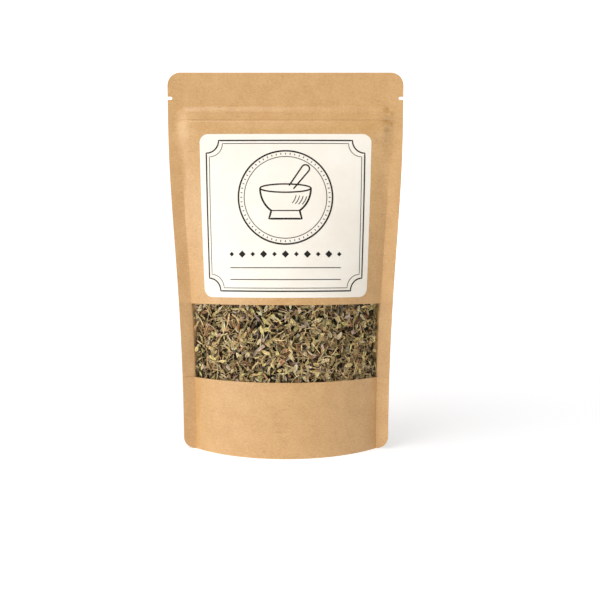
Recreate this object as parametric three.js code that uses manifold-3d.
// Stand-up pouch of dried thyme: a kraft-paper bag with a clear window strip across its front, a
// press-to-close zip, a plain label and the loose dried herb inside.
// Millimetres, +Z up. The bag stands on its opened base, its front faces -Y, and the origin is the
// middle of the base. Every wall is described on the flat bag first, by its distance across from the
// centre line and its height, and is then formed to the curve that the filling pushes it to.
import * as THREE from "three";
import { mergeVertices } from "three/addons/utils/BufferGeometryUtils.js";
import Module from "manifold-3d";

const wasm = await Module();
wasm.setup();

// The flat bag
const BAG_WIDTH = 130;
const BAG_HEIGHT = 213;
const SIDE_SEAL = 7;
const CORNER_RADIUS = 6;
const PANEL_HALF = BAG_WIDTH / 2 - SIDE_SEAL;

// Layers through a seal, measured outwards from the bag's middle plane
const FILM_HALF = 0.1;
const WALL_INNER = 0.2;
const WALL_OUTER = 0.6;

// The filled shape
const BASE_HALF_DEPTH = 22.5;
const SHOULDER_HEIGHT = 181.5;
const SHOULDER_SOFTNESS = 2;
const BULGE_POWER = 2.5;
const CENTRE_LIFT = 2;
const HEADER_BOTTOM = 190.6;
const HEADER_EASE = 5;

// The window strip between the two pieces of kraft paper
const WINDOW_BOTTOM = 42;
const WINDOW_TOP = 84.5;
const FILM_OVERLAP = 4;

// The tear notches in the header
const NOTCH_HEIGHT = 199;
const NOTCH_DEPTH = 2.6;
const NOTCH_WIDTH = 1.6;

// The zip
const ZIP_CENTRE = 188.4;
const FLANGE_BELOW = 7;
const FLANGE_ABOVE = 2.2;
const ZIP_LENGTH = 106;
const ZIP_STANDOFF = 1.7;
const ZIP_END_SLOPE = 4;
const FLANGE_OUTER = 1.6;
const FLANGE_INNER = 1.2;
const RIB_HALF = 0.4;
const RIB_HEAD_HALF = 0.85;
const RIB_HEAD_BACK = 0.1;
const RIB_TIP = 0.75;
const GROOVE_HALF = 1.2;
const GROOVE_WALL = 0.5;
const GROOVE_LIP_GAP_HALF = 0.7;
const GROOVE_FRONT = -0.7;
const GROOVE_LIP_BACK = -0.25;

// The label
const LABEL_WIDTH = 95;
const LABEL_BOTTOM = 88.5;
const LABEL_TOP = 179.5;
const LABEL_CORNER = 5;
const LABEL_INNER = 0.85;
const LABEL_OUTER = 1.1;

// The bottom gusset, a web folded up between the front and the back
const GUSSET_MIDDLE = -0.15;
const GUSSET_THICKNESS = 0.4;
const GUSSET_SEAL_CENTRE = 5;
const GUSSET_SEAL_RISE = 22;
const GUSSET_FOLD_CENTRE = 12;
const GUSSET_FOLD_RISE = 24;

// The dried thyme
const FILL_HALF = 55;
const FILL_TOP = 141;
const FILL_MOUND = 9;
const LOOSE_TOP = 3;
const FILL_GAP_BELOW = 1.6;
const WALL_CLEARANCE = 0.5;
const WALL_CLEARANCE_SHARE = 0.5;
const FLAKE_BED = 2.4;
const FLAKE_BED_SHARE = 0.6;
const STEM_SHARE = 0.12;

// Where flakes and stems lie on the heap: closest behind the window, and sparser where paper hides it
const SCATTER_AREAS = [
  { half: 54, bottom: 40, top: 88, columns: 20, rows: 8, deepest: 2.5, facesBack: false },
  { half: 52, bottom: 88, top: 141, columns: 9, rows: 4, deepest: 2.5, facesBack: false },
  { half: 52, bottom: 40, top: 141, columns: 8, rows: 6, deepest: 2.5, facesBack: true },
  { half: 42, bottom: 141, top: 149, columns: 9, rows: 1, deepest: 12, facesBack: false },
];
const SHALLOWEST = 1.8;

// Fineness of the forming
const PANEL_STRIPS = 12;
const SLOPE_STEP = 0.25;
const LEAST_BULGE = 1e-4;
const WELD = 1e-4;

const { smoothstep, lerp } = THREE.MathUtils;

// The bag's shape

// How far the filling pushes the middle of a wall out at a height.
function bulge(height) {
  const share = Math.abs(height) / SHOULDER_HEIGHT;
  const push = BASE_HALF_DEPTH * (1 - share ** BULGE_POWER);
  const softened = (push + Math.hypot(push, 2 * SHOULDER_SOFTNESS)) / 2;
  return softened * (1 - smoothstep(height, ZIP_CENTRE - FLANGE_BELOW, HEADER_BOTTOM));
}

// How far the zip holds the walls apart at a place on the flat bag.
function zipStandoff(across, height) {
  const top = 1 - smoothstep(height, HEADER_BOTTOM, HEADER_BOTTOM + HEADER_EASE);
  const bottom = smoothstep(height, ZIP_CENTRE - 4 * FLANGE_BELOW, ZIP_CENTRE - FLANGE_BELOW);
  const end = 1 - smoothstep(Math.abs(across), PANEL_HALF - ZIP_END_SLOPE, PANEL_HALF);
  return ZIP_STANDOFF * top * bottom * end;
}

// A level slice of a wall is an arc of the panel's own width, so a deeper bulge draws the sides in.
function arcOf(depth) {
  let angle = (2 * depth) / PANEL_HALF;
  for (let step = 0; step < 12; step++) {
    const error = 1 - Math.cos(angle) - (angle * depth) / PANEL_HALF;
    angle -= error / (Math.sin(angle) - depth / PANEL_HALF);
  }
  return { angle, radius: PANEL_HALF / angle };
}

// A place of the flat bag on the formed front wall's inner face.
function frontPlace(across, height) {
  const side = Math.sign(across);
  const onPanel = Math.min(Math.abs(across), PANEL_HALF);
  const onSeal = Math.abs(across) - onPanel;
  const depth = Math.max(bulge(height), LEAST_BULGE);
  const { angle, radius } = arcOf(depth);
  const rise = radius * (Math.cos(onPanel / radius) - Math.cos(angle));
  const lift = CENTRE_LIFT * Math.sin((Math.PI * height) / SHOULDER_HEIGHT) * (rise / depth);
  return new THREE.Vector3(
    side * (radius * Math.sin(onPanel / radius) + onSeal),
    -rise - zipStandoff(across, height),
    height + (height < SHOULDER_HEIGHT ? lift : 0),
  );
}

// Directions along a wall at a place: to the right, and upwards.
function wallDirections(across, height) {
  const right = frontPlace(across + SLOPE_STEP, height).sub(frontPlace(across - SLOPE_STEP, height));
  const up = frontPlace(across, height + SLOPE_STEP).sub(frontPlace(across, height - SLOPE_STEP));
  return { right: right.normalize(), out: right.clone().cross(up).normalize() };
}

// A place moved outwards, square to the wall.
function onFront(across, height, outwards) {
  return frontPlace(across, height).addScaledVector(wallDirections(across, height).out, outwards);
}

function onBack(across, height, outwards) {
  const place = onFront(across, height, outwards);
  return place.setY(-place.y);
}

// Solids

function solidOf(geometry) {
  const bare = geometry.clone();
  bare.deleteAttribute("normal");
  bare.deleteAttribute("uv");
  const merged = mergeVertices(bare, WELD);
  return new wasm.Manifold(
    new wasm.Mesh({
      numProp: 3,
      vertProperties: merged.attributes.position.array,
      triVerts: new Uint32Array(merged.index.array),
    }),
  );
}

function geometryOf(solid) {
  const { numProp, vertProperties, triVerts } = solid.getMesh();
  const places = new Float32Array((vertProperties.length / numProp) * 3);
  for (let i = 0; i < places.length / 3; i++) {
    places.set(vertProperties.subarray(i * numProp, i * numProp + 3), i * 3);
  }
  const geometry = new THREE.BufferGeometry();
  geometry.setAttribute("position", new THREE.BufferAttribute(places, 3));
  geometry.setIndex(new THREE.BufferAttribute(triVerts, 1));
  return geometry;
}

// A flat blank cut into cells, each corner then moved by place(column, layer, row).
function formedBlank(columns, layers, rows, place) {
  const blank = new THREE.BoxGeometry(columns, layers, rows, columns, layers, rows);
  const corners = blank.attributes.position;
  for (let i = 0; i < corners.count; i++) {
    const column = Math.round(corners.getX(i) + columns / 2);
    const layer = Math.round(corners.getY(i) + layers / 2);
    const row = Math.round(corners.getZ(i) + rows / 2);
    corners.setXYZ(i, ...place(column, layer, row).toArray());
  }
  return blank;
}

function evenSteps(from, to, count) {
  return Array.from({ length: count + 1 }, (_, i) => lerp(from, to, i / count));
}

// Half the width of an upright rounded rectangle at a height.
function roundedHalfWidth(halfWidth, bottom, top, radius, height) {
  const past = Math.max(bottom + radius - height, height - top + radius, 0);
  return halfWidth - radius + Math.sqrt(Math.max(radius ** 2 - past ** 2, 0));
}

// Strips across a panel between the slopes at the zip's ends.
const panelStrips = evenSteps(ZIP_END_SLOPE - PANEL_HALF, PANEL_HALF - ZIP_END_SLOPE, PANEL_STRIPS);

// A wall of the bag: its outer edge follows the bag's rounded outline.
function wallSheet(heights, inner, outer, toPlace, facesBack) {
  const across = [-BAG_WIDTH / 2, -PANEL_HALF, ...panelStrips, PANEL_HALF, BAG_WIDTH / 2];
  return formedBlank(across.length - 1, 1, heights.length - 1, (column, layer, row) => {
    const height = heights[row];
    const edge = roundedHalfWidth(BAG_WIDTH / 2, 0, BAG_HEIGHT, CORNER_RADIUS, height);
    const place = THREE.MathUtils.clamp(across[column], -edge, edge);
    return toPlace(place, height, (layer === 1) === facesBack ? outer : inner);
  });
}

// Rows that follow a rounded corner, up to the straight edge.
const cornerRows = [0, 0.3, 0.6, 0.85].map((share) => CORNER_RADIUS * (1 - Math.cos((share * Math.PI) / 2)));
const bottomRows = [...cornerRows, CORNER_RADIUS, 14, 22, 30];
const windowRows = evenSteps(WINDOW_BOTTOM, WINDOW_TOP, 4);
const labelRows = evenSteps(99, 155, 4);
const belowZip = evenSteps(162, ZIP_CENTRE - FLANGE_BELOW, 3);
const easeRows = evenSteps(HEADER_BOTTOM, HEADER_BOTTOM + HEADER_EASE, 3);
const zipRows = [...belowZip, ZIP_CENTRE, ...easeRows];
const topRows = cornerRows.map((down) => BAG_HEIGHT - down).reverse();
const headerRows = [BAG_HEIGHT - CORNER_RADIUS, ...topRows];

// A slit with a round end at each side of the header, to start a tear.
function tearNotches(solid) {
  const half = NOTCH_WIDTH / 2;
  const slit = new THREE.Shape();
  slit.moveTo(-half, half);
  slit.lineTo(-half, -half);
  slit.absarc(NOTCH_DEPTH - half, 0, half, -Math.PI / 2, Math.PI / 2);
  const through = 4 * WALL_OUTER;
  const cutter = new THREE.ExtrudeGeometry(slit, { depth: through, bevelEnabled: false, curveSegments: 6 });
  cutter.translate(0, 0, -through / 2).rotateX(Math.PI / 2);
  const left = cutter.clone().translate(-BAG_WIDTH / 2, 0, NOTCH_HEIGHT);
  const right = cutter.clone().rotateZ(Math.PI).translate(BAG_WIDTH / 2, 0, NOTCH_HEIGHT);
  return geometryOf(solidOf(solid).subtract(solidOf(left)).subtract(solidOf(right)));
}

function frontUpper() {
  const rows = [WINDOW_TOP, WINDOW_TOP + FILM_OVERLAP, ...labelRows, ...zipRows, ...headerRows];
  return tearNotches(wallSheet(rows, WALL_INNER, WALL_OUTER, onFront, false));
}

function frontLower() {
  const rows = [...bottomRows, WINDOW_BOTTOM - FILM_OVERLAP, WINDOW_BOTTOM];
  return wallSheet(rows, WALL_INNER, WALL_OUTER, onFront, false);
}

function windowFilm() {
  const rows = [WINDOW_BOTTOM - FILM_OVERLAP, ...windowRows, WINDOW_TOP + FILM_OVERLAP];
  return wallSheet(rows, -FILM_HALF, FILM_HALF, onFront, false);
}

function back() {
  const rows = [...bottomRows, ...windowRows, ...labelRows, ...zipRows, ...headerRows];
  return tearNotches(wallSheet(rows, WALL_INNER, WALL_OUTER, onBack, true));
}

// A sticker on the front wall above the window.
function label() {
  const corner = cornerRows.map((down) => (down * LABEL_CORNER) / CORNER_RADIUS);
  const rows = [
    ...corner.map((up) => LABEL_BOTTOM + up),
    ...evenSteps(LABEL_BOTTOM + LABEL_CORNER, LABEL_TOP - LABEL_CORNER, 9),
    ...corner.map((down) => LABEL_TOP - down).reverse(),
  ];
  const shares = evenSteps(-1, 1, PANEL_STRIPS);
  return formedBlank(shares.length - 1, 1, rows.length - 1, (column, layer, row) => {
    const half = roundedHalfWidth(LABEL_WIDTH / 2, LABEL_BOTTOM, LABEL_TOP, LABEL_CORNER, rows[row]);
    return onFront(shares[column] * half, rows[row], layer === 0 ? LABEL_OUTER : LABEL_INNER);
  });
}

// The height of the gusset's centre fold, least in the middle.
function gussetFold(across) {
  return GUSSET_FOLD_CENTRE + GUSSET_FOLD_RISE * (across / PANEL_HALF) ** 2;
}

// The gusset's two borders are sealed inside the walls' bottom edges. Between them the web spans the
// base and rises to its centre fold, higher towards the side seals.
function gussetPlace(across, web) {
  const sealHeight = GUSSET_SEAL_CENTRE + GUSSET_SEAL_RISE * (across / PANEL_HALF) ** 2;
  const foldHeight = gussetFold(across);
  const toFold = Math.max(1 - Math.abs(web), 0);
  const upBorder = Math.min(2 - Math.abs(web), 1);
  const place = onFront(across, sealHeight * upBorder, GUSSET_MIDDLE);
  place.y *= 1 - toFold;
  place.z = lerp(place.z, foldHeight, toFold);
  if (web > 0) place.y = -place.y;
  return place;
}

function gusset() {
  const web = [-2, -1.5, -1, -0.66, -0.33, 0, 0.33, 0.66, 1, 1.5, 2];
  const slopeStep = 0.01;
  return formedBlank(PANEL_STRIPS, web.length - 1, 1, (column, row, layer) => {
    const across = panelStrips[column];
    const before = gussetPlace(across, Math.max(web[row] - slopeStep, -2));
    const after = gussetPlace(across, Math.min(web[row] + slopeStep, 2));
    const left = gussetPlace(across - SLOPE_STEP, web[row]);
    const right = gussetPlace(across + SLOPE_STEP, web[row]);
    const normal = right.sub(left).cross(after.sub(before)).normalize();
    return gussetPlace(across, web[row]).addScaledVector(normal, (layer - 0.5) * GUSSET_THICKNESS);
  });
}

// The zip is two plastic tracks: a rib with a wide head, and a groove whose lips hold it. Each is welded to
// its wall by a flange that hangs below and ends just above the track.
function zipTrack(points) {
  const outline = points.map(([depth, up]) => new THREE.Vector2(depth, Math.min(up, FLANGE_ABOVE)));
  const section = new THREE.Shape(outline);
  const track = new THREE.ExtrudeGeometry(section, { depth: ZIP_LENGTH, bevelEnabled: false });
  // The section's depth runs along Y and its height along Z, with the length along X.
  const turn = new THREE.Matrix4().makeBasis(
    new THREE.Vector3(0, 1, 0),
    new THREE.Vector3(0, 0, 1),
    new THREE.Vector3(1, 0, 0),
  );
  return track.applyMatrix4(turn).translate(-ZIP_LENGTH / 2, 0, ZIP_CENTRE);
}

function mirrored(points) {
  return [...points, ...points.map(([depth, up]) => [depth, -up]).reverse()];
}

function zipRib() {
  return zipTrack(
    mirrored([
      [-FLANGE_OUTER, FLANGE_BELOW],
      [-FLANGE_INNER, FLANGE_BELOW],
      [-FLANGE_INNER, RIB_HALF],
      [RIB_HEAD_BACK, RIB_HALF],
      [RIB_HEAD_BACK, RIB_HEAD_HALF],
      [RIB_TIP, RIB_HALF],
    ]).reverse(),
  );
}

function zipGroove() {
  return zipTrack(
    mirrored([
      [FLANGE_OUTER, FLANGE_BELOW],
      [FLANGE_INNER, FLANGE_BELOW],
      [FLANGE_INNER, GROOVE_HALF + GROOVE_WALL],
      [GROOVE_FRONT, GROOVE_HALF + GROOVE_WALL],
      [GROOVE_FRONT, GROOVE_LIP_GAP_HALF],
      [GROOVE_LIP_BACK, GROOVE_LIP_GAP_HALF],
      [GROOVE_LIP_BACK, GROOVE_HALF],
      [FLANGE_INNER, GROOVE_HALF],
    ]),
  );
}

// The thyme is a settled heap of leaf flakes and bits of stem. A core fills the middle, and the flakes
// and stems lie on it as they fell, pressed flat where they meet the bag.
let seed = 20;
function random() {
  seed = (seed + 0x6d2b79f5) | 0;
  let mixed = Math.imul(seed ^ (seed >>> 15), 1 | seed);
  mixed = (mixed + Math.imul(mixed ^ (mixed >>> 7), 61 | mixed)) ^ mixed;
  return ((mixed ^ (mixed >>> 14)) >>> 0) / 2 ** 32;
}

function between(low, high) {
  return lerp(low, high, random());
}

function fillTop(across) {
  return FILL_TOP + FILL_MOUND * Math.cos((across / FILL_HALF) * (Math.PI / 2));
}

// The heap inside the walls, a depth clear of them, or a share of the way to them where they close up.
function heapShape(clearance, share, aboveTop) {
  const across = evenSteps(-FILL_HALF, FILL_HALF, 12);
  const [layers, rows] = [2, 10];
  return formedBlank(across.length - 1, layers, rows, (column, layer, row) => {
    const bottom = gussetFold(across[column]) + FILL_GAP_BELOW;
    const height = lerp(bottom, fillTop(across[column]) + aboveTop, row / rows);
    const place = onFront(across[column], height, -clearance);
    const nearest = frontPlace(across[column], height).y * (1 - share);
    return place.setY((1 - layer) * Math.min(place.y, nearest));
  });
}

// A dried leaf: a pointed oval with a low ridge on each face.
function leafFlake() {
  return new THREE.SphereGeometry(1, 6, 2).rotateX(Math.PI / 2).scale(between(4, 6), between(1.8, 2.6), 0.7);
}

// A bit of square stem.
function stemBit() {
  const radius = between(0.5, 0.75);
  return new THREE.CylinderGeometry(0.7 * radius, radius, between(9, 17), 4).rotateZ(Math.PI / 2);
}

// Lays a flake on one face of the heap, turned any way and tilted a little.
function laidOn(geometry, across, height, depth, facesBack) {
  const turn = new THREE.Matrix4().makeRotationFromEuler(
    new THREE.Euler(between(-0.5, 0.5), between(-0.35, 0.35), between(0, Math.PI), "ZYX"),
  );
  const { right, out } = wallDirections(across, height);
  const seat = new THREE.Matrix4().makeBasis(right, out.clone().cross(right), out);
  seat.setPosition(frontPlace(across, height).addScaledVector(out, -depth));
  geometry.applyMatrix4(turn).applyMatrix4(seat);
  return facesBack ? geometry.rotateZ(Math.PI) : geometry;
}

// One flake or stem for each cell of an area, somewhere within its cell.
function scattered({ half, bottom, top, columns, rows, deepest, facesBack }) {
  const bits = [];
  for (let column = 0; column < columns; column++) {
    for (let row = 0; row < rows; row++) {
      const across = lerp(-half, half, (column + random()) / columns);
      const height = lerp(bottom, top, (row + random()) / rows);
      const bit = random() < STEM_SHARE ? stemBit() : leafFlake();
      bits.push(laidOn(bit, across, height, between(SHALLOWEST, deepest), facesBack));
    }
  }
  return bits;
}

function driedThyme() {
  const core = heapShape(FLAKE_BED, FLAKE_BED_SHARE, 0);
  const bits = SCATTER_AREAS.flatMap(scattered);
  const heap = wasm.Manifold.union([core, ...bits].map(solidOf));
  const room = solidOf(heapShape(WALL_CLEARANCE, WALL_CLEARANCE_SHARE, LOOSE_TOP));
  const bodies = heap.intersect(room).decompose();
  return geometryOf(bodies.reduce((most, body) => (body.volume() > most.volume() ? body : most)));
}

// The bag, put together

function finish(color, roughness, more = {}) {
  return new THREE.MeshStandardMaterial({ color, roughness, metalness: 0, ...more });
}

const kraft = () => finish(0xd9a96f, 0.85);
const clearFilm = () => finish(0xeef0ea, 0.15, { transparent: true, opacity: 0.3 });
const zipPlastic = () => finish(0xe4ddd0, 0.4);
const labelPaper = () => finish(0xf3ece0, 0.75);
const thyme = () => finish(0x7b7a55, 0.9);

function named(name, geometry, material) {
  const mesh = new THREE.Mesh(geometry, material);
  mesh.name = name;
  return mesh;
}

const pouch = new THREE.Group();
pouch.add(
  named("front_kraft_upper", frontUpper(), kraft()),
  named("front_kraft_lower", frontLower(), kraft()),
  named("back_kraft", back(), kraft()),
  named("bottom_gusset", gusset(), kraft()),
  named("window_film", windowFilm(), clearFilm()),
  named("zip_rib_track", zipRib(), zipPlastic()),
  named("zip_groove_track", zipGroove(), zipPlastic()),
  named("label", label(), labelPaper()),
  named("dried_thyme", driedThyme(), thyme()),
);

export default pouch;
